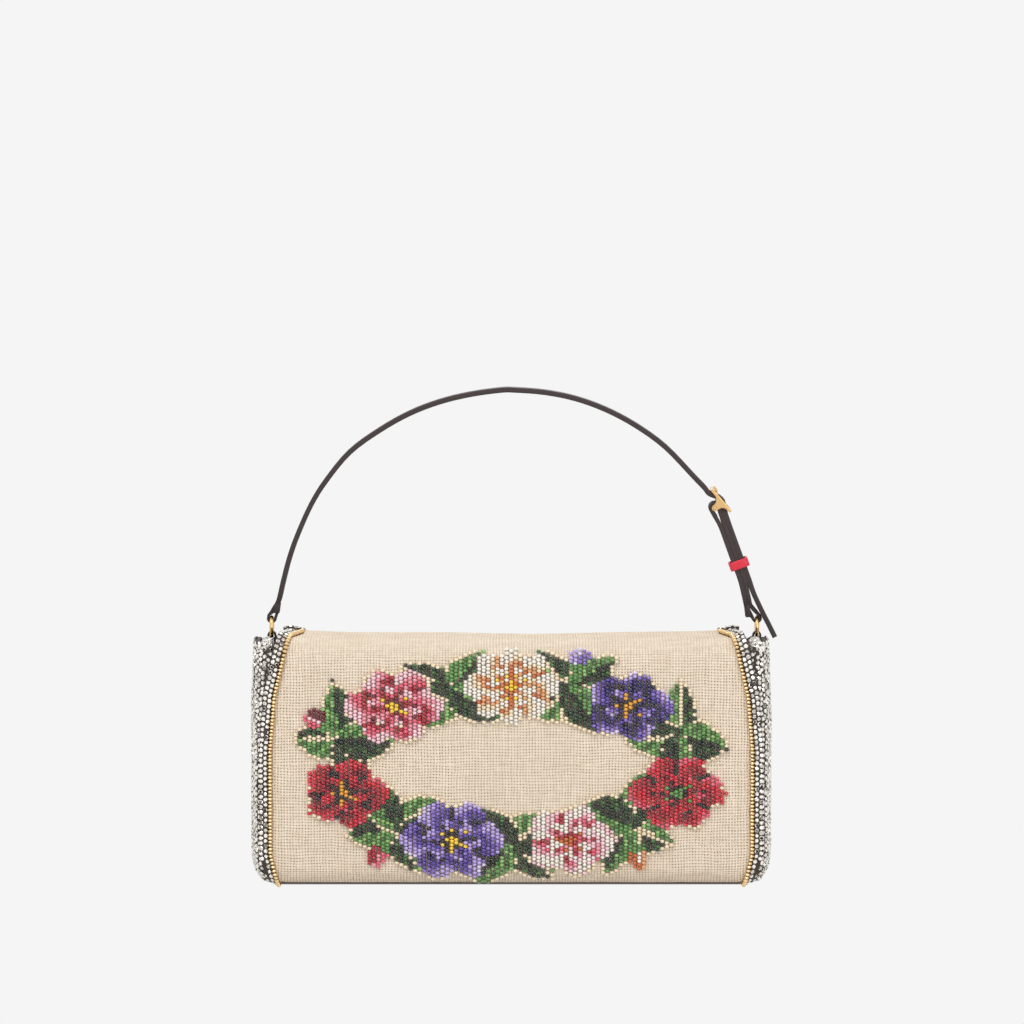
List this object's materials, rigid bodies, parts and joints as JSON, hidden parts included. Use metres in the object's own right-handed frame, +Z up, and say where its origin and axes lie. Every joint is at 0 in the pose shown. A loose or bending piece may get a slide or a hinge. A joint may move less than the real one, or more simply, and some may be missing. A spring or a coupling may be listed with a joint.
{
  "type": "flap handbag",
  "caption": "Small linen flap handbag with a bead wreath, stone covered sides and borders, and a short dark leather strap with a brass buckle.",
  "frame": {"origin": "on the floor, under the middle of the bag's width and depth, on the base's flat face", "axes": "+X along the bag's width to the buckle side, -Y out of the flap's front, +Z up"},
  "size_m": [0.2667, 0.0552, 0.2505],
  "materials": {
    "linen": "plain woven natural linen",
    "crystal": "close set clear cut stones, silver backed",
    "gold_bead": "gold coloured beads in a row",
    "brass": "polished",
    "dark_leather": "smooth dark brown",
    "red_leather": "smooth red",
    "lining": "brown cloth",
    "board": "stiff board",
    "steel": "plain magnet discs",
    "leaf_beads": "glossy glass beads, greens",
    "rose_beads": "glossy glass beads, reds and pinks",
    "violet_beads": "glossy glass beads, violets",
    "ivory_beads": "glossy glass beads, ivory and peach"
  },
  "bodies": {
    "bag": {"back_panel": "linen", "base_board": "board", "base_panel": "dark_leather", "corner_left": "crystal", "corner_right": "crystal", "front_binding": "dark_leather", "front_wall": "linen", "gusset_left": "crystal", "gusset_right": "crystal", "lining": "lining", "magnet_body": "steel", "ring_tab_left": "dark_leather", "ring_tab_right": "dark_leather", "slip_pocket": "lining"},
    "flap": {"bloom_1": "ivory_beads", "bloom_2": "violet_beads", "bloom_3": "rose_beads", "bloom_4": "ivory_beads", "bloom_5": "violet_beads", "bloom_6": "rose_beads", "bloom_7": "ivory_beads", "flap_border_left": "crystal", "flap_border_right": "crystal", "flap_hem": "dark_leather", "flap_lining": "dark_leather", "flap_panel": "linen", "flap_trim_left": "gold_bead", "flap_trim_right": "gold_bead", "leaves_1": "leaf_beads", "leaves_2": "leaf_beads", "leaves_3": "leaf_beads", "leaves_4": "leaf_beads", "leaves_5": "leaf_beads", "leaves_6": "leaf_beads", "leaves_7": "leaf_beads", "magnet_flap": "steel"},
    "strap": {"buckle_frame": "brass", "buckle_pin": "brass", "ring_left": "brass", "ring_right": "brass", "strap_long": "dark_leather", "strap_short": "dark_leather"},
    "prong": {"buckle_prong": "brass"},
    "keeper": {"keeper": "red_leather"}
  },
  "joints": [
    {"name": "strap_swing", "type": "hinge", "parent": "bag", "child": "strap", "pos_m": [0, 0.0175, 0.1283], "axis": [1, 0, 0], "range_deg": [-90, 75]},
    {"name": "flap_lift", "type": "hinge", "parent": "bag", "child": "flap", "pos_m": [0, 0.002, 0.1262], "axis": [-1, 0, 0], "range_deg": [0, 100]},
    {"name": "keeper_slide", "type": "slide", "parent": "strap", "child": "keeper", "axis": [0.342, 0, -0.9397], "range_m": [-0.005, 0.005]},
    {"name": "prong_swing", "type": "hinge", "parent": "strap", "child": "prong", "pos_m": [0.1035, 0.0175, 0.18936], "axis": [0, 1, 0], "range_deg": [0, 20]}
  ]
}
